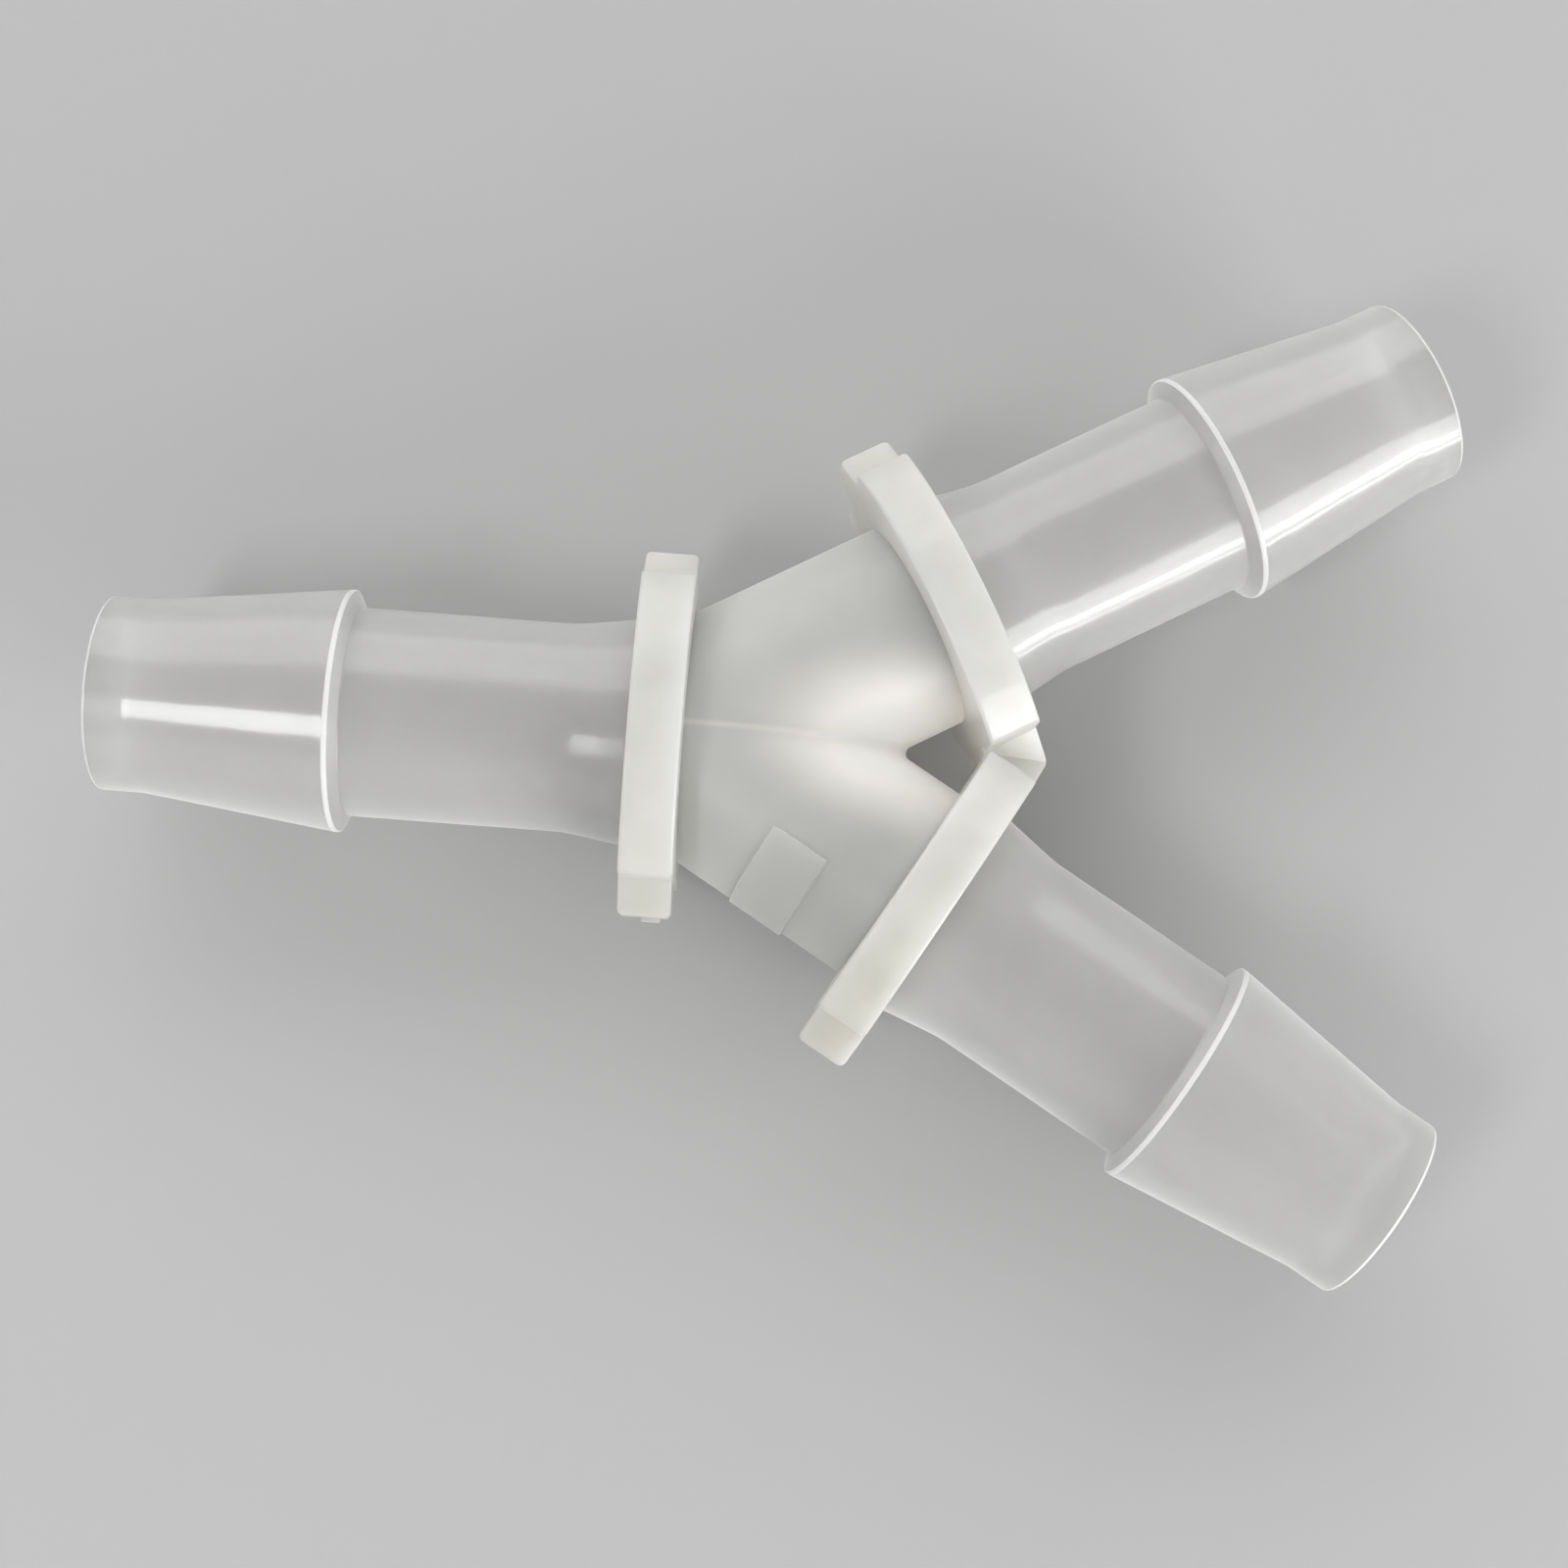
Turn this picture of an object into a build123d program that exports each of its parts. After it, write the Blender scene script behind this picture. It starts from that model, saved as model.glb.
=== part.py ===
"""A one-piece moulded Y connector for flexible tubing.

A trunk and two branches leave a common junction.  Each arm is a collar, a short flare, a thin
neck and one hose barb with a long lead-in cone and a short straight tip.  The mould parts on the
plane of the three arm axes, so the collars are drafted away from that plane.

The model is built round the point where the three axes meet, with the trunk along -X, and is
moved at the end so that it lies on its three collars on z = 0.
"""
from build123d import *
from math import cos, radians, sin, tan
import os

# ---------------------------------------------------------------- driving dimensions, millimetres
branch_angle = 30.0            # of each branch from the line of the trunk

bore_radius = 7.0
body_wall = 2.30               # junction tubes
neck_wall = 2.05               # between the flare and the barb
tip_wall = 1.40                # at the mouth

flare_rise = 0.80              # the flare's foot stands this far outside the neck
flare_length = 5.3
flare_blend = 13.0             # radius where the flare runs into the neck

trunk_neck_length = 23.9       # collar face to barb
branch_neck_length = 22.9
barb_rise = 1.48               # the barb stands this far outside the neck
barb_face_length = 0.70        # the steep face that holds the hose
barb_land_length = 0.30        # the narrow land on top of it
cone_length = 16.8
tip_length = 3.7
mouth_edge_radius = 0.25

collar_thickness = 4.90        # on the parting plane
collar_draft = 1.0             # degrees, on each face
collar_rise = 3.70             # crown of the collar above the junction tubes
collar_crown_radius = 18.0     # its top and bottom are flatter than a full circle
collar_side_rise = 3.60        # flat sides of the collar beyond the junction tubes
collar_corner_radius = 1.20    # between its crown and flat sides
collar_edge_break = 0.20       # chamfer round both faces
collar_gap = 0.10              # from a branch collar's flat side to the mirror plane
trunk_collar_set_back = 0.42   # its inner face lies this far past the meeting point of the axes

ear_thickness = 4.60           # the ears on the parting plane at both ends of each collar
ear_set_back = 0.25            # from the collar's inner face to theirs
ear_reach = 3.0                # beyond the collar's flat side
ear_root_height = 8.0          # where it leaves the collar
ear_end_height = 2.4
ear_corner_radius = 0.50

crotch_radius = 0.80           # between the two branch tubes
web_radius = 1.20              # between the inner faces of the two branch collars
web_height = 6.8
web_root = 1.0                 # it runs this far into the ears behind it
pad_start = 11.3               # label pad on the right-hand branch, along its axis
pad_length = 5.35
pad_height = 0.28
pad_top_angle = 17.0           # degrees from the top of the tube
pad_low_angle = 90.0           # it ends on the parting plane

gate_width = 1.65              # trimmed gate on the trunk collar's right-hand ear
gate_length = 0.40
gate_height = 0.55

# ---------------------------------------------------------------- sizes that follow from them
body_radius = bore_radius + body_wall
neck_radius = bore_radius + neck_wall
tip_radius = bore_radius + tip_wall
barb_radius = neck_radius + barb_rise
collar_half_height = body_radius + collar_rise
collar_half_width = body_radius + collar_side_rise
barb_length = barb_face_length + barb_land_length + cone_length + tip_length
branch_face = (collar_half_width * cos(radians(branch_angle)) + collar_gap) / sin(radians(branch_angle))


def arm_frame(angle):
    """Local frame of an arm: Z along its axis, Y up, X to the left of the direction of travel."""
    direction = Vector(cos(radians(angle)), sin(radians(angle)), 0)
    return Plane(origin=(0, 0, 0), x_dir=direction.cross(Vector(0, 0, -1)), z_dir=direction)


def corner(sketch, along, radius):
    """The vertex of a profile that lies nearest to one point."""
    return sketch.vertices().sort_by_distance((radius, along))[0]


def arm_outside(neck_length):
    """Solid of revolution of one arm from the middle of its collar to the mouth, along Z."""
    foot = collar_thickness
    barb = foot + neck_length
    land = barb + barb_face_length
    cone = land + barb_land_length
    straight = cone + cone_length
    mouth = straight + tip_length
    outline = Polyline(
        (0, foot / 2),
        (neck_radius + flare_rise, foot / 2),
        (neck_radius + flare_rise, foot),
        (neck_radius, foot + flare_length),
        (neck_radius, barb),
        (barb_radius, land),
        (barb_radius, cone),
        (tip_radius, straight),
        (tip_radius, mouth),
        (0, mouth),
        close=True,
    )
    profile = make_face(outline)
    profile = fillet(corner(profile, foot + flare_length, neck_radius), flare_blend)
    profile = fillet(corner(profile, mouth, tip_radius), mouth_edge_radius)
    return revolve(Plane.XZ * profile, Axis.Z)


def collar():
    """One collar along Z from its inner face: crowned, with flat sides and drafted faces."""
    drop = collar_crown_radius - collar_half_height
    lens = Pos(0, -drop) * Circle(collar_crown_radius) & Pos(0, drop) * Circle(collar_crown_radius)
    outline = lens & Rectangle(2 * collar_half_width, 2 * collar_half_height)
    outline = fillet(outline.vertices(), collar_corner_radius)
    blank = extrude(outline, collar_thickness)
    lean = 2 * collar_half_height * tan(radians(collar_draft))
    drafted = make_face(Polyline(
        (0, 0),
        (lean, 2 * collar_half_height),
        (collar_thickness - lean, 2 * collar_half_height),
        (collar_thickness, 0),
        (collar_thickness - lean, -2 * collar_half_height),
        (lean, -2 * collar_half_height),
        close=True,
    ))
    side_view = Plane(origin=(-2 * collar_half_width, 0, 0), x_dir=(0, 0, 1), z_dir=(1, 0, 0))
    blank = blank & extrude(side_view * drafted, 4 * collar_half_width)
    rims = blank.edges().filter_by(lambda e: abs(e.tangent_at(0.5).Z) < 0.5)
    parting = rims.filter_by(Axis.X)
    return chamfer(rims - parting, collar_edge_break)


def ears():
    """The pair of wedge-shaped ears that continue a collar along the parting plane."""
    reach = collar_half_width + ear_reach
    inside = collar_half_width - ear_reach / 3
    wedge = make_face(Polyline(
        (inside, -ear_root_height / 2),
        (collar_half_width, -ear_root_height / 2),
        (reach, -ear_end_height / 2),
        (reach, ear_end_height / 2),
        (collar_half_width, ear_root_height / 2),
        (inside, ear_root_height / 2),
        close=True,
    ))
    ear = Pos(0, 0, ear_set_back) * extrude(wedge, ear_thickness)
    upright = ear.edges().filter_by(Axis.Y).sort_by(Axis.X)[-2:]
    ear = fillet(upright, ear_corner_radius)
    return ear + mirror(ear, Plane.YZ)


def arm(angle, face, neck_length):
    """Collar, ears and hose barb of one arm, with the collar's inner face at the given distance."""
    return arm_frame(angle) * Pos(0, 0, face) * (collar() + ears() + arm_outside(neck_length))


def junction():
    """The two branch tubes back to the trunk collar, with a rounded crotch."""
    length = branch_face + collar_thickness / 2
    tubes = Part()
    for angle in (branch_angle, -branch_angle):
        tube = Pos(0, 0, -body_radius) * extrude(Circle(body_radius), length + body_radius)
        tubes += arm_frame(angle) * tube
    room = 4 * length
    front = Box(room, room, room, align=(Align.MIN, Align.CENTER, Align.CENTER))
    tubes = tubes & (Pos(trunk_collar_set_back - collar_thickness / 2, 0, 0) * front)
    crotch = tubes.edges().filter_by(lambda e: abs((e @ 0.5).Y) < 0.01).sort_by(Axis.X)[-1]
    return fillet(crotch, crotch_radius)


def branches():
    """Both branch arms; each stops at the mirror plane, where the inner ears run together."""
    room = 4 * (branch_face + branch_neck_length + barb_length)
    left_side = Box(room, room, room, align=(Align.CENTER, Align.MIN, Align.CENTER))
    left = arm(branch_angle, branch_face, branch_neck_length) & left_side
    return left + mirror(left, Plane.XZ) + web()


def web():
    """Rounded filling between the inner faces of the two branch collars, lower than their ears."""
    corner_x = branch_face / cos(radians(branch_angle))
    half_opening = radians(90 - branch_angle)
    centre_x = corner_x - web_radius / sin(half_opening)
    touch_x = centre_x + web_radius * cos(radians(branch_angle))
    touch_y = web_radius * sin(radians(branch_angle))
    plan = make_face(Polyline(
        (touch_x, touch_y),
        (touch_x + web_root, touch_y),
        (touch_x + web_root, -touch_y),
        (touch_x, -touch_y),
        close=True,
    ))
    plan = plan - Pos(centre_x, 0) * Circle(web_radius)
    return Pos(0, 0, -web_height / 2) * extrude(plan, web_height)


def label_pad():
    """A bare raised pad on the upper outside of the right-hand branch."""
    ring = Circle(body_radius + pad_height) - Circle(body_radius - body_wall / 2)
    reach = 2 * body_radius
    rays = [(0, 0)]
    for angle in (pad_top_angle, (pad_top_angle + pad_low_angle) / 2, pad_low_angle):
        rays.append((-reach * sin(radians(angle)), reach * cos(radians(angle))))
    sector = ring & make_face(Polyline(*rays, close=True))
    return arm_frame(-branch_angle) * Pos(0, 0, pad_start) * extrude(sector, pad_length)


def gate():
    """The trimmed stub of the moulding gate on the end of the trunk collar's ear."""
    reach = collar_half_width + ear_reach
    stub = Box(2 * gate_length, gate_height, gate_width)
    return arm_frame(180) * Pos(reach, 0, collar_thickness * 0.4 - trunk_collar_set_back) * stub


def bore(angle, length):
    return arm_frame(angle) * extrude(Circle(bore_radius), length)


def y_connector():
    trunk_face = -trunk_collar_set_back
    trunk_length = trunk_face + collar_thickness + trunk_neck_length + barb_length
    branch_length = branch_face + collar_thickness + branch_neck_length + barb_length
    part = junction() + branches()
    part += arm(180, trunk_face, trunk_neck_length)
    part += label_pad()
    part += gate()
    part -= bore(180, trunk_length)
    for angle in (branch_angle, -branch_angle):
        part -= bore(angle, branch_length)
    middle = part.bounding_box().center().X
    return Pos(-middle, 0, collar_half_height) * part


os.makedirs("parts", exist_ok=True)
connector = y_connector()
export_step(connector, "parts/y_connector.step")
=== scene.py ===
# %% [markdown]
# # A moulded tubing Y connector, dressed for its portrait
# The real fitting is one shot of natural polypropylene: three barbed spigots, three
# collars and a hollow junction, with no paint, no seam and no second part.
# The CAD model holds its sizes. This lesson gives it what the CAD lacks: a skin fine
# enough for soft light, a milky plastic that lets light in, and a small studio.

import bmesh
import bpy
import numpy as np
from mathutils import Matrix, Quaternion, Vector


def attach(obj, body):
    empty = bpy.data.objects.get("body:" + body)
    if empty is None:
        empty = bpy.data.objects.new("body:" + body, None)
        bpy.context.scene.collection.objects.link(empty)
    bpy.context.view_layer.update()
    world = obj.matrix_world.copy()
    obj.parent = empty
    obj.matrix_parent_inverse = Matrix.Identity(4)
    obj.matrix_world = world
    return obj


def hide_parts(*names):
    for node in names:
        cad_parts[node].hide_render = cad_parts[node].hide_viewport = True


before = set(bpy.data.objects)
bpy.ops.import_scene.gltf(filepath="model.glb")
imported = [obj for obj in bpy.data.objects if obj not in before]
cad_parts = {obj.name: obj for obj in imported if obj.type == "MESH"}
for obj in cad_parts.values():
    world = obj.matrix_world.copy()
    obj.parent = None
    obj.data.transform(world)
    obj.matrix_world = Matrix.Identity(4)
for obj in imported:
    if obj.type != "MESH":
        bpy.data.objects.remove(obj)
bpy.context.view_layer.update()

# %% [markdown]
# ## The mould drawing
# A moulding is drawn from a handful of lengths: the bore, the walls around it, the
# collars, the barb. They are written here once, in millimetres, and named as a toolmaker
# would name them, so that every later step reads the same numbers.

# %% Tube, flare and barb
branch_angle = np.radians(30.0)
bore_radius = 7.0
body_radius = 9.30
neck_radius = 9.05
barb_radius = 10.53
tip_radius = 8.40
flare_rise = 0.80
flare_length = 5.3
flare_blend = 13.0
neck_length = {"trunk": 23.9, "branch": 22.9}
barb_face = 0.70
barb_land = 0.30
cone_length = 16.8
tip_length = 3.7

# %% Collars, ears and junction
collar_thickness = 4.90
collar_draft = np.radians(1.0)
collar_half_height = 13.0
collar_half_width = 12.9
crown_radius = 18.0
corner_radius = 1.20
edge_radius = 0.25
collar_face = {"trunk": -0.42, "branch": 22.543}
crotch_radius = 0.80
hub = np.array([-8.2234, 0.0, 13.0])


def stations(arm):
    """Distances along an arm, each the last plus one length: foot, barb, land, cone, straight, mouth."""
    lengths = [collar_thickness, neck_length[arm], barb_face, barb_land, cone_length, tip_length]
    return np.cumsum([collar_face[arm]] + lengths)[1:]


print("mouth distances", {arm: round(float(stations(arm)[-1]), 3) for arm in neck_length})

# %% [markdown]
# ## Natural polypropylene
# Unpigmented polypropylene is milky. In a thin tube wall much of the light goes straight
# through, so the wall looks grey and the bore shows behind it. In a thick collar the
# light scatters many times and comes out a warm white. The same plastic is therefore
# written as four finishes: thin walls, junction walls, thick rims, and the tight crests of
# barbs and mouths. The crests get a whiter, less see-through copy: a painted highlight for
# the line of light they catch. Each keeps one transmission for its whole surface,
# and subsurface scattering does the rest.
#
# Molten plastic never cools evenly, and its flow leaves faint clouds. One node group paints
# those clouds together with painted light: a mask that fades with the distance from a chosen
# place mixes a thin colour into a thick one, and a slow noise breaks the result up. At the
# crotch the mask is painted light: the colour turns whiter and a painted glow is added, standing
# in for light gathered by the branches in the shaded corner. Part of that whiteness is also the
# plastic staying whitest where it is thickest. On the collars the same mask makes them whiter
# towards the crown and yellower towards the ends. On the mirror plane, where the two flows of
# plastic meet, a narrow painted highlight draws the crease.

# %% Cloud, thickness and painted light group
# Half width, in metres, of the painted highlight along the crease on the mirror plane.
crease_highlight_half_width = 0.00045
cloud_scale, cloud_detail = 160.0, 3.0


def socket(group, name, kind, direction="INPUT", value=None):
    """A named socket on a node group, with its starting value."""
    made = group.interface.new_socket(name=name, in_out=direction, socket_type=kind)
    if value is not None:
        made.default_value = value


def melt_tone_and_painted_light_group():
    """Colour = mix(thin, thick, fall + crease_highlight * seam) * (1 + cloud * (noise - 0.5)); Glow = thick
    * fall, a painted glow. Near the crotch, fall paints light into the colour, and the seam term is a
    painted highlight.
    """
    group = bpy.data.node_groups.new("melt_tone_and_painted_light", "ShaderNodeTree")
    socket(group, "Thin colour", "NodeSocketColor")
    socket(group, "Thick and lit colour", "NodeSocketColor")
    socket(group, "Thick and lit place", "NodeSocketVector")
    socket(group, "Counts", "NodeSocketVector", value=(1.0, 1.0, 1.0))
    socket(group, "Reach", "NodeSocketFloat", value=0.01)
    socket(group, "Cloud", "NodeSocketFloat", value=0.04)
    # Strength of a painted highlight along the crease on the mirror plane.
    socket(group, "Weld", "NodeSocketFloat", value=0.0)
    socket(group, "Colour", "NodeSocketColor", "OUTPUT")
    # Glow: painted light where the mask is high, though the plastic is no lamp.
    socket(group, "Glow", "NodeSocketColor", "OUTPUT")
    new, link = group.nodes.new, group.links.new
    given, gives = new("NodeGroupInput"), new("NodeGroupOutput")
    place = new("ShaderNodeTexCoord")
    away = new("ShaderNodeVectorMath")
    away.operation = "SUBTRACT"
    link(place.outputs["Object"], away.inputs[0])
    link(given.outputs["Thick and lit place"], away.inputs[1])
    flat = new("ShaderNodeVectorMath")
    flat.operation = "MULTIPLY"
    link(away.outputs["Vector"], flat.inputs[0])
    link(given.outputs["Counts"], flat.inputs[1])
    far = new("ShaderNodeVectorMath")
    far.operation = "LENGTH"
    link(flat.outputs["Vector"], far.inputs[0])
    # fall is 1 at the chosen place and 0 beyond its reach. At the crotch it paints light into the colour
    # and drives the painted glow.
    fall = new("ShaderNodeMapRange")
    fall.interpolation_type = "SMOOTHERSTEP"
    fall.inputs["To Min"].default_value = 1.0
    fall.inputs["To Max"].default_value = 0.0
    link(far.outputs["Value"], fall.inputs["Value"])
    link(given.outputs["Reach"], fall.inputs["From Max"])
    parts = new("ShaderNodeSeparateXYZ")
    link(place.outputs["Object"], parts.inputs["Vector"])
    off = new("ShaderNodeMath")
    off.operation = "ABSOLUTE"
    link(parts.outputs["Y"], off.inputs[0])
    # seam: a painted highlight, a narrow bright line where |Y| is under its half width.
    seam = new("ShaderNodeMapRange")
    seam.interpolation_type = "SMOOTHSTEP"
    seam.inputs["From Max"].default_value = crease_highlight_half_width
    seam.inputs["To Min"].default_value = 1.0
    seam.inputs["To Max"].default_value = 0.0
    link(off.outputs["Value"], seam.inputs["Value"])
    line = new("ShaderNodeMath")
    line.operation = "MULTIPLY_ADD"
    line.use_clamp = True
    link(seam.outputs["Result"], line.inputs[0])
    link(given.outputs["Weld"], line.inputs[1])
    link(fall.outputs["Result"], line.inputs[2])
    mix = new("ShaderNodeMix")
    mix.data_type = "RGBA"
    link(line.outputs["Value"], mix.inputs["Factor"])
    link(given.outputs["Thin colour"], mix.inputs["A"])
    link(given.outputs["Thick and lit colour"], mix.inputs["B"])
    noise = new("ShaderNodeTexNoise")
    noise.inputs["Scale"].default_value = cloud_scale
    noise.inputs["Detail"].default_value = cloud_detail
    link(place.outputs["Object"], noise.inputs["Vector"])
    centred = new("ShaderNodeMath")
    centred.operation = "SUBTRACT"
    centred.inputs[1].default_value = 0.5
    link(noise.outputs["Fac"], centred.inputs[0])
    gain = new("ShaderNodeMath")
    gain.operation = "MULTIPLY_ADD"
    gain.inputs[2].default_value = 1.0
    link(centred.outputs["Value"], gain.inputs[0])
    link(given.outputs["Cloud"], gain.inputs[1])
    tone = new("ShaderNodeVectorMath")
    tone.operation = "SCALE"
    link(mix.outputs["Result"], tone.inputs[0])
    link(gain.outputs["Value"], tone.inputs["Scale"])
    link(tone.outputs["Vector"], gives.inputs["Colour"])
    # Painted glow: the thick colour scaled by the mask, sent to emission.
    warm = new("ShaderNodeVectorMath")
    warm.operation = "SCALE"
    link(given.outputs["Thick and lit colour"], warm.inputs[0])
    link(fall.outputs["Result"], warm.inputs["Scale"])
    link(warm.outputs["Vector"], gives.inputs["Glow"])
    return group


melt_tone_and_painted_light = melt_tone_and_painted_light_group()
print("melt_tone_and_painted_light nodes", len(melt_tone_and_painted_light.nodes))

# %% [markdown]
# Polished steel moulds leave a skin that is smooth but never flat. A fine noise drives a
# bump, and its height, the ripple, is given in millimetres.

# %% Four finishes of one plastic
refraction = 1.49
scatter_tint = (1.0, 0.98, 0.94)
sheen_roughness = 0.50
coat_roughness = 0.07
ripple_scale, ripple_detail = 300.0, 4.0
crotch = np.array([19.5, 0.0, 0.0])
crown = np.array([12.0, 3.0, 12.0])


def polypropylene(name, thin, thick, thick_and_lit_place, counts, reach, see_through, depth, sheen, coat,
                  roughness, ripple=0.03, cloud=0.12, glow=0.0, crease_highlight=0.0):
    """Principled plastic: scattering under the skin, a share of light that goes straight through, and,
    where asked, a painted glow.
    """
    finish = bpy.data.materials.new(name)
    finish.use_nodes = True
    tree = finish.node_tree
    shader = tree.nodes["Principled BSDF"]
    shader.subsurface_method = "RANDOM_WALK"
    shader.inputs["Roughness"].default_value = roughness
    shader.inputs["IOR"].default_value = refraction
    shader.inputs["Subsurface Weight"].default_value = 1.0
    shader.inputs["Subsurface Radius"].default_value = scatter_tint
    shader.inputs["Subsurface Scale"].default_value = depth
    shader.inputs["Transmission Weight"].default_value = see_through
    shader.inputs["Sheen Weight"].default_value = sheen
    shader.inputs["Sheen Roughness"].default_value = sheen_roughness
    shader.inputs["Coat Weight"].default_value = coat
    shader.inputs["Coat Roughness"].default_value = coat_roughness
    tone_and_painted_light = tree.nodes.new("ShaderNodeGroup")
    tone_and_painted_light.node_tree = melt_tone_and_painted_light
    tone_and_painted_light.inputs["Thin colour"].default_value = (*thin, 1.0)
    tone_and_painted_light.inputs["Thick and lit colour"].default_value = (*thick, 1.0)
    tone_and_painted_light.inputs["Thick and lit place"].default_value = (hub + thick_and_lit_place) / 1000.0
    tone_and_painted_light.inputs["Counts"].default_value = counts
    tone_and_painted_light.inputs["Reach"].default_value = reach
    tone_and_painted_light.inputs["Cloud"].default_value = cloud
    tone_and_painted_light.inputs["Weld"].default_value = crease_highlight
    # The base colour carries the random clouds and, near the chosen place, painted light.
    tree.links.new(tone_and_painted_light.outputs["Colour"], shader.inputs["Base Color"])
    # A painted glow: emission from the same mask, not a lamp.
    if glow > 0:
        tree.links.new(tone_and_painted_light.outputs["Glow"], shader.inputs["Emission Color"])
        shader.inputs["Emission Strength"].default_value = glow
    place = tree.nodes.new("ShaderNodeTexCoord")
    waves = tree.nodes.new("ShaderNodeTexNoise")
    waves.inputs["Scale"].default_value = ripple_scale
    waves.inputs["Detail"].default_value = ripple_detail
    tree.links.new(place.outputs["Object"], waves.inputs["Vector"])
    bump = tree.nodes.new("ShaderNodeBump")
    bump.inputs["Strength"].default_value = 1.0
    bump.inputs["Distance"].default_value = ripple / 1000.0
    tree.links.new(waves.outputs["Fac"], bump.inputs["Height"])
    tree.links.new(bump.outputs["Normal"], shader.inputs["Normal"])
    tree.links.new(bump.outputs["Normal"], shader.inputs["Coat Normal"])
    return finish


everywhere = (1.0, 1.0, 1.0)
along_crotch = (0.7, 1.2, 0.0)
finishes = [
    # Thin walls turn slightly whiter towards the crotch: painted light.
    polypropylene("polypropylene_thin_wall", (0.80, 0.795, 0.785), (0.86, 0.855, 0.84),
                  crotch, everywhere, reach=0.034, see_through=0.60, depth=0.003,
                  sheen=1.0, coat=0.6, roughness=0.22),
    # The junction is darker away from the crotch, and whiter with a painted glow at it. This is painted
    # light for the shaded valley, partly also the plastic's own whiteness where it is thick. Its crease
    # highlight is a painted highlight on the mirror plane.
    polypropylene("polypropylene_junction_wall", (0.585, 0.585, 0.565), (1.0, 0.96, 0.90),
                  crotch, along_crotch, reach=0.0118, see_through=0.05, depth=0.004,
                  sheen=0.8, coat=0.0, roughness=0.42, glow=0.19, crease_highlight=0.30),
    # Collars turn whiter towards a point over the upper collar and yellower towards their ends.
    polypropylene("polypropylene_thick_rim", (0.74, 0.73, 0.66), (0.81, 0.81, 0.80),
                  crown, everywhere, reach=0.034, see_through=0.14, depth=0.005,
                  sheen=0.2, coat=0.35, roughness=0.30, ripple=0.06, cloud=0.24),
    # The crest finish is a brighter, less see-through copy of the plastic: a painted highlight on barb
    # crests and mouth lips.
    polypropylene("polypropylene_crest", (0.92, 0.92, 0.90), (0.92, 0.92, 0.90),
                  crotch, everywhere, reach=0.034, see_through=0.12, depth=0.003,
                  sheen=0.6, coat=0.0, roughness=0.40),
]
thin_wall, junction_wall, thick_rim, crest = range(len(finishes))
print("finishes", [finish.name for finish in finishes])

# %% [markdown]
# ## One set of rays for every arm
# Seen along its bore, each arm is a stack of closed rings: round for the tube, and a
# crowned, flat-sided outline for the collar. If every ring is sampled at the same polar
# angles, the whole outside is one grid from junction to mouth and back down the bore.
# The collar's corners are tight, so most of the rays are spent there.

# %% Collar outline
drop = crown_radius - collar_half_height
crown_middle = np.array([0.0, -drop])
corner_side = collar_half_width - corner_radius
corner_up = np.sqrt((crown_radius - corner_radius) ** 2 - corner_side ** 2) - drop
corner_middle = np.array([corner_side, corner_up])
corner_turn = np.arctan2(corner_up + drop, corner_side)


def far_hit(theta, middle, radius):
    """Distance from the bore's centre to the far side of a circle: c.d + sqrt((c.d)^2 - c.c + r^2)."""
    along = middle[0] * np.cos(theta) + middle[1] * np.sin(theta)
    return along + np.sqrt(np.maximum(along ** 2 - middle @ middle + radius ** 2, 0.0))


def collar_outline(theta):
    """Point and outward normal of the outline on each ray: flat side, corner arc or crown."""
    c, s = np.cos(theta), np.sin(theta)
    fold = np.arctan2(np.abs(s), np.abs(c))
    corner_end = corner_middle + corner_radius * np.array([np.cos(corner_turn), np.sin(corner_turn)])
    on_side = np.tan(fold) * collar_half_width < corner_up
    on_crown = fold > np.arctan2(corner_end[1], corner_end[0])
    side = collar_half_width / np.maximum(np.cos(fold), 1e-9)
    corner = far_hit(fold, corner_middle, corner_radius)
    arch = far_hit(fold, crown_middle, crown_radius)
    reach = np.where(on_side, side, np.where(on_crown, arch, corner))
    point = np.stack([reach * np.cos(fold), reach * np.sin(fold)], axis=-1)
    out = np.where(on_crown[:, None], point - crown_middle, point - corner_middle)
    out = np.where(on_side[:, None], [1.0, 0.0], out / np.linalg.norm(out, axis=-1, keepdims=True))
    mirror = np.stack([np.where(c < 0, -1.0, 1.0), np.where(s < 0, -1.0, 1.0)], axis=-1)
    return point * mirror, out * mirror


# %% Ray angles
pad_top = np.radians(73.0)
side_up = np.linspace(0.0, corner_up, 12)
turn = np.linspace(0.0, corner_turn, 9)[1:]
lean = np.linspace(corner_turn, np.pi / 2, 22)[1:]
on_side = np.arctan2(side_up, collar_half_width)
on_corner = np.arctan2(corner_up + corner_radius * np.sin(turn),
                       corner_side + corner_radius * np.cos(turn))
on_crown = np.arctan2(crown_radius * np.sin(lean) - drop, crown_radius * np.cos(lean))
pad_rim = np.radians([0.12, 0.6, 72.4, 72.88, 73.0])    # on and just inside the pad's sloping sides
quarter = np.unique(np.round(np.concatenate([on_side, on_corner, on_crown, pad_rim]), 9))
rays = np.concatenate([quarter, np.pi - quarter[-2::-1],
                       np.pi + quarter[1:], 2 * np.pi - quarter[-2:0:-1]])
print("rays", len(rays))

# %% [markdown]
# ## The side view of a barb
# Cut lengthwise, an arm beyond its collar is a polyline of distance and radius: flare,
# neck, steep barb face, narrow land, lead-in cone, tip, and the bore back. No moulded
# corner is perfectly sharp, so each is replaced by a small arc that catches a line of
# light. Shading is smoothed from point to point, so a long run that ends at an arc would
# bend the light along its whole length. A short guard part at each end stops that.

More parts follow.
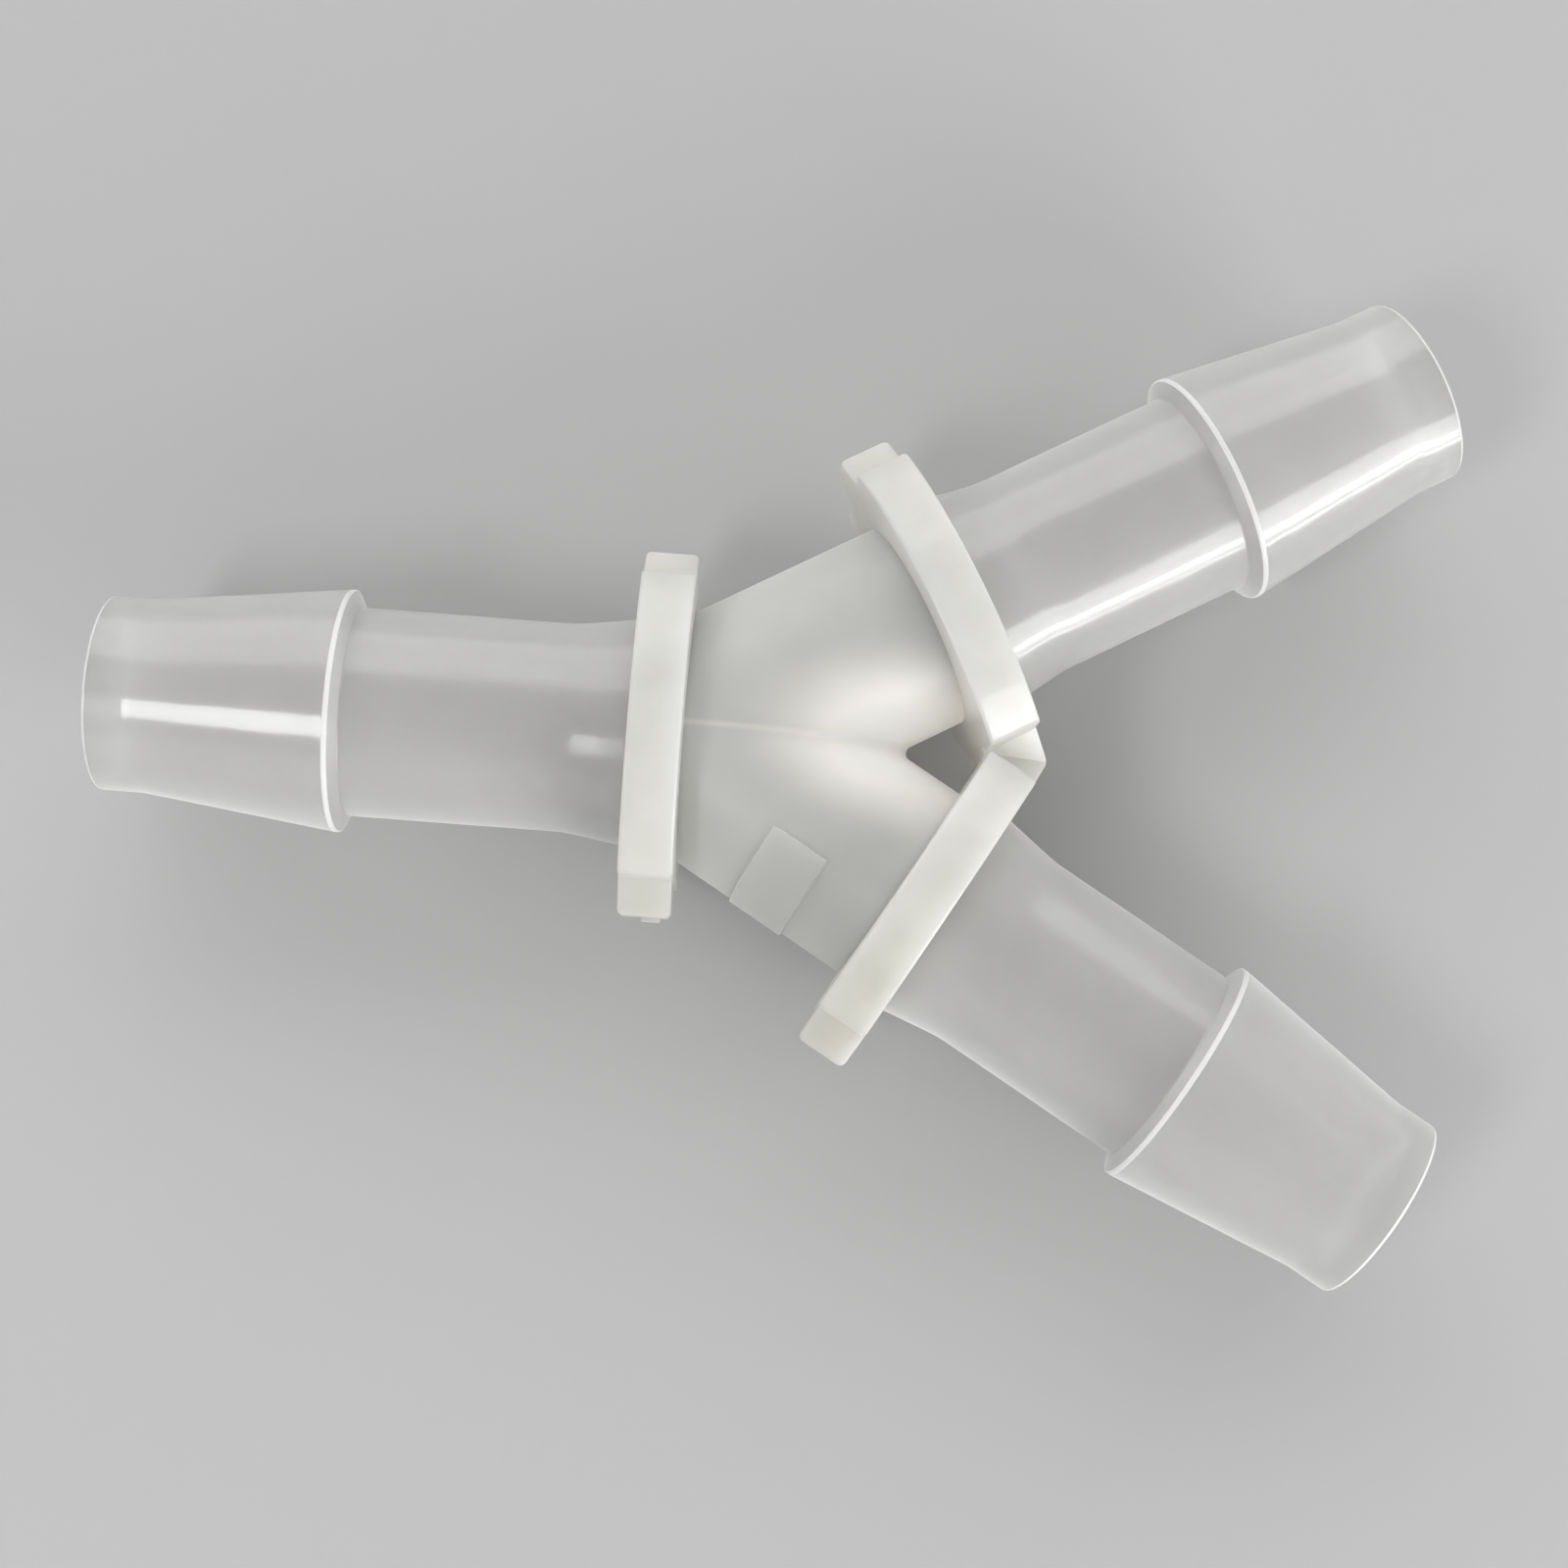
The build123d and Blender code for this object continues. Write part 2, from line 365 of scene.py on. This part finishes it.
# %% Profile with rounded corners
barb_foot_round = 0.20
barb_edge_round = 0.12
tip_blend = 6.0
mouth_outer_round = 0.25
mouth_inner_round = 0.15
mouth_return = 2.0
longest_part = 2.6
longest_steep_part = 0.24


def rounded(corners, radii, steps):
    """Polyline with an arc at each corner, touching both runs at r tan(turn / 2) from the corner."""
    corners = np.asarray(corners, float)
    line = [corners[:1]]
    for before, here, after, radius, count in zip(corners, corners[1:], corners[2:], radii, steps):
        come = (here - before) / np.linalg.norm(here - before)
        go = (after - here) / np.linalg.norm(after - here)
        bend = np.arctan2(come[0] * go[1] - come[1] * go[0], come @ go)
        start = here - come * radius * np.tan(abs(bend) / 2)
        hand = np.sign(bend)
        inward = hand * np.array([-come[1], come[0]])
        sweep = np.linspace(0.0, abs(bend), count)[:, None]
        line.append(start + inward * radius * (1 - np.cos(sweep)) + come * radius * np.sin(sweep))
    line.append(corners[-1:])
    return np.concatenate(line)


def divided(line, longest, steep_longest, guard=0.06):
    """The same polyline with long runs cut into equal parts, and a short guard part at each end."""
    parts = [line[:1]]
    for start, end in zip(line, line[1:]):
        run = np.linalg.norm(end - start)
        steep = end[1] - start[1] > end[0] - start[0] > 0
        count = max(1, int(np.ceil(run / (steep_longest if steep else longest))))
        near = min(guard / run, 0.5 / count)
        step = np.append(np.linspace(near, 1.0 - near, count + 1), 1.0) if run > 0.5 else np.ones(1)
        parts.append(start + (end - start) * step[:, None])
    return np.concatenate(parts)


def barb_profile(arm):
    """Distance along the arm and radius, from the foot of the flare to just inside the mouth."""
    foot, barb, land, cone, straight, mouth = stations(arm)
    corners = [
        (foot, neck_radius + flare_rise),
        (foot + flare_length, neck_radius),
        (barb, neck_radius),
        (land, barb_radius),
        (cone, barb_radius),
        (straight, tip_radius),
        (mouth, tip_radius),
        (mouth, bore_radius),
        (mouth - mouth_return, bore_radius),
    ]
    radii = [flare_blend, barb_foot_round, barb_edge_round, barb_edge_round,
             tip_blend, mouth_outer_round, mouth_inner_round]
    line = rounded(corners, radii, [6, 4, 4, 4, 3, 6, 5])
    return divided(line, longest_part, longest_steep_part)


profiles = {arm: barb_profile(arm) for arm in neck_length}
print("profile points", {arm: len(p) for arm, p in profiles.items()})

# %% [markdown]
# ## Where the three tubes meet
# Two equal tubes cross on a flat plane, so each branch simply stops at the mirror plane.
# A ball that rolls along that valley and touches both tubes draws the moulded fillet:
# its centre stays one body radius plus one ball radius from both axes.

# %% Branch tube between the junction and its collar
pad_run = (11.3, 16.65)
pad_height = 0.28
pad_slope = 0.06
pad_slope_turn = np.radians(0.3)
slant = 1.0 / np.tan(branch_angle)
draft = np.tan(collar_draft)
offset = body_radius + crotch_radius
valley_top = np.arccos((-collar_face["trunk"] - body_radius * draft) / (2 * offset - crotch_radius / 2))
arc_rows = 7
arc_row_gap = 0.05


def in_space(along, radius, theta, side, arm="branch"):
    """Point from the hub: along * axis + radius * (cos, sin) across it; side mirrors the branches."""
    across, up = radius * np.cos(theta), radius * np.sin(theta)
    if arm == "trunk":
        return np.stack([-along, side * across, up + 0 * along], axis=-1)
    x = along * np.cos(branch_angle) - across * np.sin(branch_angle)
    y = along * np.sin(branch_angle) + across * np.cos(branch_angle)
    return np.stack([x, side * y, up + 0 * along], axis=-1)


def valley_fillet(alpha, side):
    """Rolling-ball arc from the mirror plane to the tube, alpha being the angle from the crotch."""
    centre = in_space(slant * offset * np.cos(alpha), offset, np.pi - alpha, side)
    touch = in_space(slant * offset * np.cos(alpha), body_radius, np.pi - alpha, side)
    reach = (touch - centre) / crotch_radius
    middle = reach * [1.0, 0.0, 1.0]
    middle /= np.linalg.norm(middle, axis=-1, keepdims=True)
    turn = np.arccos(np.clip(np.sum(middle * reach, axis=-1), -1, 1))[:, None]
    turn = np.maximum(turn, 1e-6)
    share = np.linspace(0.0, 1.0, arc_rows)[:, None, None]
    swept = np.sin((1 - share) * turn) * middle + np.sin(share * turn) * reach
    return centre + crotch_radius * swept / np.sin(turn)


def junction_tube(side, pad_rise):
    """Rows of rings from the valley or the trunk collar out to the branch collar's inner face."""
    theta = np.where(np.abs(np.abs(np.pi - rays) - np.pi / 2) < 1e-6,
                     np.pi + np.sign(rays - np.pi) * valley_top, rays)
    up = body_radius * np.abs(np.sin(theta))
    plane = -collar_face["trunk"] - up * draft
    first = (plane + body_radius * np.cos(theta) * np.sin(branch_angle)) / np.cos(branch_angle)
    in_valley = np.abs(np.pi - theta) < valley_top + 1e-6
    alpha = np.clip(np.pi - theta, -valley_top, valley_top)
    steps = np.arange(arc_rows)[:, None]
    arc = np.where(in_valley[None, :, None], valley_fillet(alpha, side),
                   in_space(first + arc_row_gap * steps, body_radius, theta + 0 * steps, side))
    begin = np.where(in_valley, slant * offset * np.cos(alpha), first + arc_row_gap * (arc_rows - 1))
    end = collar_face["branch"] + up * draft
    room = end - begin
    low = np.maximum(pad_run[0], begin + 0.25 * room)
    high = np.maximum(pad_run[1], begin + 0.55 * room)
    share = np.linspace(0.0, 1.0, 13)[1:, None]
    knots = [begin + (low - begin) * share, low + np.array([[0.04], [0.12]]),
             low + 0.12 + (high - low - 0.24) * share, high + np.array([[-0.04], [0.0]]),
             high + (end - high) * share]
    along = np.concatenate(knots)
    blend = np.clip((along - begin) / room, 0.0, 1.0)
    straight_rays = theta + (rays - theta) * blend
    rise = np.clip((along - pad_run[0]) / pad_slope, 0, 1) * np.clip((pad_run[1] - along) / pad_slope, 0, 1)
    around = np.clip(straight_rays / pad_slope_turn, 0, 1)
    around = around * np.clip((pad_top - straight_rays) / pad_slope_turn, 0, 1)
    radius = body_radius + pad_rise * rise * around
    return np.concatenate([arc, in_space(along, radius, straight_rays, side)])


# %% Collar, barb and bore rows
rim_support = 0.15
crest_rise, crest_past, lip_depth, lip_return = 0.24, 0.15, 0.26, 2.10


def collar_rows(arm, side, start_ring):
    """Rows from a ring on the collar's inner face, over the rounded rim, to the foot of the flare."""
    face = collar_face[arm]
    point, out = collar_outline(rays)
    turn = np.linspace(0.0, np.pi / 2, 5)

    def row(inset, depth, far):
        """One ring inset from the outline and a depth in from either drafted face."""
        flat = point - out * inset
        lean = np.abs(flat[:, 1]) * draft
        along = face + collar_thickness - lean - depth if far else face + lean + depth
        return in_space(along, np.hypot(*flat.T), np.arctan2(flat[:, 1], flat[:, 0]), side, arm)

    support = row(edge_radius + rim_support, 0.0, False)
    share = np.linspace(0.0, 1.0, 4)[:-1, None, None]
    rows = [start_ring + (support - start_ring) * share, support[None]]
    rounds = [(edge_radius * (1 - np.sin(a)), edge_radius * (1 - np.cos(a))) for a in turn]
    rows += [row(inset, depth, False)[None] for inset, depth in rounds]
    near, far = row(0.0, edge_radius, False), row(0.0, edge_radius, True)
    share = np.array([0.035, 0.25, 0.5, 0.75, 0.965])[:, None, None]
    rows.append(near + (far - near) * share)
    rows += [row(inset, depth, True)[None] for inset, depth in rounds[::-1]]
    support = row(edge_radius + rim_support, 0.0, True)
    flare = neck_radius + flare_rise
    foot = in_space(face + collar_thickness - flare * np.abs(np.sin(rays)) * draft, flare, rays, side, arm)
    share = np.linspace(0.0, 1.0, 4)[:, None, None]
    rows.append(support + (foot - support) * share)
    return np.concatenate(rows)


def bore_rows(arm, side):
    """Rows down the bore from the mouth to the plane where it meets its neighbours."""
    mouth = profiles[arm][-1, 0]
    across = bore_radius * np.cos(rays)
    end = np.abs(across) / np.tan((np.pi - branch_angle) / 2)
    if arm == "branch":
        end = np.where(across < 0, -slant * across, end)
    share = np.linspace(0.0, 1.0, 31)[1:, None]
    along = mouth + (end - mouth) * share
    return in_space(along, bore_radius, rays + 0 * along, side, arm)


def whitened(arm, line):
    """True on the barb's crest and the mouth's lip, where the skin turns tightly. These get a brighter,
    less see-through finish, a painted highlight for the line of light they catch.
    """
    along, radius = line.T
    cone, _, mouth = stations(arm)[-3:]
    ridge = (radius > barb_radius - crest_rise) & (along < cone + crest_past)
    lip = (along > mouth - lip_depth) | ((along > mouth - lip_return) & (radius < bore_radius + 0.01))
    return ridge | lip


def arm_rows(arm, side, start_rows):
    """All the rings of one arm, and the finish between each ring and the next."""
    line = profiles[arm]
    barb = in_space(line[:, :1] + 0 * rays, line[:, 1:] + 0 * rays, rays + 0 * line[:, :1], side, arm)
    parts = [start_rows, collar_rows(arm, side, start_rows[-1])[1:], barb, bore_rows(arm, side)]
    kinds = np.repeat([junction_wall, thick_rim, thin_wall, thin_wall], [len(part) for part in parts])
    first = len(parts[0]) + len(parts[1])
    white = whitened(arm, line)
    # The crest rows get the brighter finish: a painted highlight.
    kinds[first:first + len(line)][white & np.roll(white, 1)] = crest
    return np.concatenate(parts), kinds[1:]


left, left_kinds = arm_rows("branch", 1, junction_tube(1, 0.0))
right, right_kinds = arm_rows("branch", -1, junction_tube(-1, pad_height))

# %% [markdown]
# The trunk collar's inner face starts on the ring where both branch tubes reach it, so its
# first ring is borrowed from them: the left branch gives the rays on its side, and the
# right branch gives the others, read in mirror order.

# %% Trunk and the closed skin
weld_distance = 2e-7    # metres
opposite = np.argmin(np.abs(np.exp(1j * (np.pi - rays))[:, None] - np.exp(1j * rays)), axis=1)
on_left = np.cos(rays) > -1e-9
first_ring = np.where(on_left[:, None], left[0], right[0][opposite])
trunk, trunk_kinds = arm_rows("trunk", 1, first_ring[None])


def grid_quads(rows, start):
    """Four corners of every cell of a grid that is closed round its rings."""
    count, around = rows.shape[:2]
    i = start + np.arange(count * around).reshape(count, around)
    j = np.roll(i, -1, axis=1)
    return np.stack([i[:-1], i[1:], j[1:], j[:-1]], axis=-1).reshape(-1, 4)


def mesh_object(name, points, faces, kinds):
    """Mesh object in metres from points in millimetres round the hub, welded and turned outwards."""
    mesh = bpy.data.meshes.new(name)
    mesh.from_pydata(((points + hub) / 1000.0).tolist(), [], faces)
    for finish in finishes:
        mesh.materials.append(finish)
    mesh.polygons.foreach_set("material_index", np.broadcast_to(kinds, len(faces)).astype(np.int32))
    skin = bmesh.new()
    skin.from_mesh(mesh)
    bmesh.ops.remove_doubles(skin, verts=skin.verts, dist=weld_distance)
    bmesh.ops.recalc_face_normals(skin, faces=skin.faces)
    print(name, "open edges", sum(len(e.link_faces) != 2 for e in skin.edges),
          "volume mm3", round(skin.calc_volume(signed=True) * 1e9, 1))
    skin.to_mesh(mesh)
    skin.free()
    made = bpy.data.objects.new(name, mesh)
    bpy.context.scene.collection.objects.link(made)
    return made


arms = [left, right, trunk]
starts = np.cumsum([0] + [rows.shape[0] * rows.shape[1] for rows in arms])
faces = np.concatenate([grid_quads(rows, start) for rows, start in zip(arms, starts)])
kinds = np.concatenate([left_kinds, right_kinds, trunk_kinds]).repeat(len(rays))
body = mesh_object("moulded_y_connector", np.concatenate([rows.reshape(-1, 3) for rows in arms]),
                   faces.tolist(), kinds)

# %% [markdown]
# ## Ears, web and gate
# Each collar ends in a pair of flat wedges on the parting plane, where the mould is
# pushed open. Between the two branch collars a rounded web fills the corner, and one ear
# keeps the trimmed stub of the gate. They are straight-sided prisms, so an exact union
# only cuts flat faces and leaves the round grid alone.

# %% Prisms
ear_thickness = 4.60
ear_set_back = 0.25
ear_reach = 3.0
ear_root_height = 8.0
ear_end_height = 2.4
ear_corner_radius = 0.50
ear_root = 0.8    # it starts this far inside the collar's flat side


def prism(name, plan, half_height, arm, side):
    """Closed block over an outline of (across, along) points, half_height(across) up and down."""
    plan = np.asarray(plan)
    across, along = plan[:, 0], plan[:, 1]
    up = half_height(across)
    angle = np.arctan2(up, across)
    top = in_space(along, np.hypot(across, up), angle, side, arm)
    low = in_space(along, np.hypot(across, up), -angle, side, arm)
    count = len(plan)
    i = np.arange(count)
    walls = np.stack([i, np.roll(i, -1), np.roll(i, -1) + count, i + count], axis=-1).tolist()
    return mesh_object(name, np.concatenate([top, low]), walls + [i.tolist(), (i + count)[::-1].tolist()],
                       thick_rim)


def ear(arm, side, hand):
    """Wedge beyond the collar's flat side: its height falls in a straight line from root to end."""
    near = collar_face[arm] + ear_set_back
    far = near + ear_thickness
    root, reach = collar_half_width - ear_root, collar_half_width + ear_reach
    corners = [(root, near), (reach, near), (reach, far), (root, far)]
    plan = rounded(corners, [ear_corner_radius] * 2, [6, 6]) * [hand, 1.0]
    fall = (ear_root_height - ear_end_height) / 2 / ear_reach

    def half_height(across):
        return ear_root_height / 2 - fall * (np.abs(across) - collar_half_width)

    return prism("ear", plan, half_height, arm, side)


add_ons = [ear("trunk", 1, 1), ear("trunk", 1, -1)]
add_ons += [ear("branch", side, hand) for side in (1, -1) for hand in (1, -1)]

# %% Web and gate stub
web_radius = 1.20
web_half_height = 3.4
corner_x = collar_face["branch"] / np.cos(branch_angle)
web_middle = corner_x - web_radius / np.cos(branch_angle)
sweep = np.linspace(-branch_angle, branch_angle, 9)
hollow = np.stack([web_middle + web_radius * np.cos(sweep), web_radius * np.sin(sweep)], axis=-1)
back = hollow[[-1, 0]] + [1.0, 0.0]
plan = np.concatenate([hollow, back])[:, ::-1] * [1.0, -1.0]
add_ons.append(prism("web", plan, lambda across: web_half_height + 0 * across, "trunk", 1))

gate_length, gate_height, gate_width = 0.40, 0.55, 1.65
gate_along = 0.4 * collar_thickness + collar_face["trunk"]
ear_end = -collar_half_width - ear_reach
plan = [
    (ear_end + gate_length, gate_along - gate_width / 2),
    (ear_end - gate_length, gate_along - gate_width / 2),
    (ear_end - gate_length, gate_along + gate_width / 2),
    (ear_end + gate_length, gate_along + gate_width / 2),
]
add_ons.append(prism("gate", plan, lambda across: gate_height / 2 + 0 * across, "trunk", 1))

# %% One closed skin
block_edge = 0.00015    # metres
sharp_from = np.radians(32)


def soften(piece, width, segments=3):
    """A small round on every edge of a block, so that its rims catch light as moulded ones do."""
    bevel = piece.modifiers.new("edges", "BEVEL")
    bevel.width = width
    bevel.segments = segments
    bevel.limit_method = "ANGLE"


def union(body, pieces):
    """Exact union of the blocks into the body; the result replaces the body's mesh."""
    for piece in pieces:
        join = body.modifiers.new(piece.name, "BOOLEAN")
        join.operation = "UNION"
        join.solver = "EXACT"
        join.object = piece
    joined = body.evaluated_get(bpy.context.evaluated_depsgraph_get())
    mesh = bpy.data.meshes.new_from_object(joined)
    body.modifiers.clear()
    body.data = mesh
    for piece in pieces:
        bpy.data.objects.remove(piece)


for piece in add_ons:
    soften(piece, block_edge)
union(body, add_ons)
body.data.name = body.name
body.data.shade_smooth()
body.data.set_sharp_from_angle(angle=sharp_from)
skin = bmesh.new()
skin.from_mesh(body.data)
print("skin", len(skin.verts), "points", sum(len(f.verts) - 2 for f in skin.faces), "triangles,",
      "open edges", sum(len(e.link_faces) != 2 for e in skin.edges),
      "volume mm3", round(skin.calc_volume() * 1e9, 1))
skin.free()
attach(body, "root")
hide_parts("y_connector")

# %% [markdown]
# ## Floor and backdrop
# A plain pale table that curves up past a metre from the fitting.

# %% Floor
table_grey = 0.56
table_roughness = 0.65


def floor_sweep(name="floor", half=2.0, lift=1.2, steps=49):
    """Table that is flat to a metre and then curves up: z = lift * max(0, r - 1)^3."""
    line = np.linspace(-half, half, steps)
    x, y = np.meshgrid(line, line, indexing="ij")
    r = np.hypot(x, y)
    z = lift * np.clip(r - 1.0, 0.0, None) ** 3
    points = np.stack([x, y, z], axis=-1).reshape(-1, 3)
    i = np.arange(steps * steps).reshape(steps, steps)
    quads = np.stack([i[:-1, :-1], i[1:, :-1], i[1:, 1:], i[:-1, 1:]], axis=-1).reshape(-1, 4)
    mesh = bpy.data.meshes.new(name)
    mesh.from_pydata(points.tolist(), [], quads.tolist())
    mesh.shade_smooth()
    sheet = bpy.data.objects.new(name, mesh)
    bpy.context.scene.collection.objects.link(sheet)
    return sheet


floor = floor_sweep()
table = bpy.data.materials.new("pale_table")
table.use_nodes = True
cover = table.node_tree.nodes["Principled BSDF"]
cover.inputs["Base Color"].default_value = (table_grey, table_grey, table_grey, 1.0)
cover.inputs["Roughness"].default_value = table_roughness
floor.data.materials.append(table)
print("floor", len(floor.data.polygons), "faces")

# %% [markdown]
# ## Lights
# Milky plastic is read from its edges, so most of the light comes in low. A small strip at
# the front left, turned to lie across the trunk, draws one narrow highlight. A window at
# the front right is three lamps one under the other, so that it fades towards the table.
# Wide soft lamps behind and in front lift the flanks, and the sky is brightest at the
# horizon and darker overhead.

# %% Lamps and sky
horizon_light, zenith_light, zenith_height = 1.42, 0.36, 0.9
aim = Vector(hub / 1000.0)


def softbox(name, azimuth, elevation, distance, size, watts, roll=0.0):
    """Rectangle of light facing the hub, from a direction: azimuth from +X, elevation from the floor."""
    lamp = bpy.data.lights.new(name, "AREA")
    lamp.shape = "RECTANGLE"
    lamp.size, lamp.size_y = size
    lamp.energy = watts
    holder = bpy.data.objects.new(name, lamp)
    a, e = np.radians(azimuth), np.radians(elevation)
    way = Vector((np.cos(a) * np.cos(e), np.sin(a) * np.cos(e), np.sin(e)))
    holder.location = aim + way * distance
    face = way.to_track_quat("Z", "Y") @ Quaternion((0, 0, 1), np.radians(roll))
    holder.rotation_euler = face.to_euler()
    bpy.context.scene.collection.objects.link(holder)


softbox("strip_front_left", -140.4, 53.2, 0.70, (0.14, 0.23), 0.90, roll=44.0)
softbox("window_front_right", -38.0, 20.0, 0.80, (0.55, 0.34), 2.4)
softbox("sash_front_right", -38.0, 9.0, 0.80, (0.50, 0.12), 1.3)
softbox("pane_front_right", -38.0, 0.5, 0.80, (0.50, 0.055), 0.9)
softbox("soft_back", 100.0, 24.0, 1.10, (2.40, 1.20), 12.5)
softbox("soft_front", -112.0, 16.0, 1.00, (1.40, 0.60), 1.2)

sky = bpy.data.worlds.new("soft_sky")
bpy.context.scene.world = sky
sky.use_nodes = True
light = sky.node_tree
ways = light.nodes.new("ShaderNodeTexCoord")
split = light.nodes.new("ShaderNodeSeparateXYZ")
fade = light.nodes.new("ShaderNodeMapRange")
fade.inputs["From Min"].default_value = 0.0
fade.inputs["From Max"].default_value = zenith_height
fade.inputs["To Min"].default_value = horizon_light
fade.inputs["To Max"].default_value = zenith_light
light.links.new(ways.outputs["Generated"], split.inputs["Vector"])
light.links.new(split.outputs["Z"], fade.inputs["Value"])
light.links.new(fade.outputs["Result"], light.nodes["Background"].inputs["Strength"])
light.nodes["Background"].inputs["Color"].default_value = (1.0, 1.0, 1.0, 1.0)
bpy.context.scene.view_settings.view_transform = "Standard"
print("lamps", sorted(lamp.name for lamp in bpy.data.lights))

# %% [markdown]
# ## Camera
# A camera held by hand above the fitting, a little towards the front.

# %% Camera
camera_place = Vector((-1.5134, -29.52, 216.5))
lens = bpy.data.cameras.new("camera")
lens.lens = 54.31
lens.sensor_width = 36.0
camera = bpy.data.objects.new("camera", lens)
tilt = Matrix.Rotation(-0.1262, 3, "X")
sway = Matrix.Rotation(0.0209, 3, "Y")
roll = Matrix.Rotation(-0.0741, 3, "Z")
turned = (tilt @ sway @ roll).transposed().to_4x4()
camera.matrix_world = Matrix.Translation(camera_place / 1000.0) @ turned
bpy.context.scene.collection.objects.link(camera)
bpy.context.scene.camera = camera
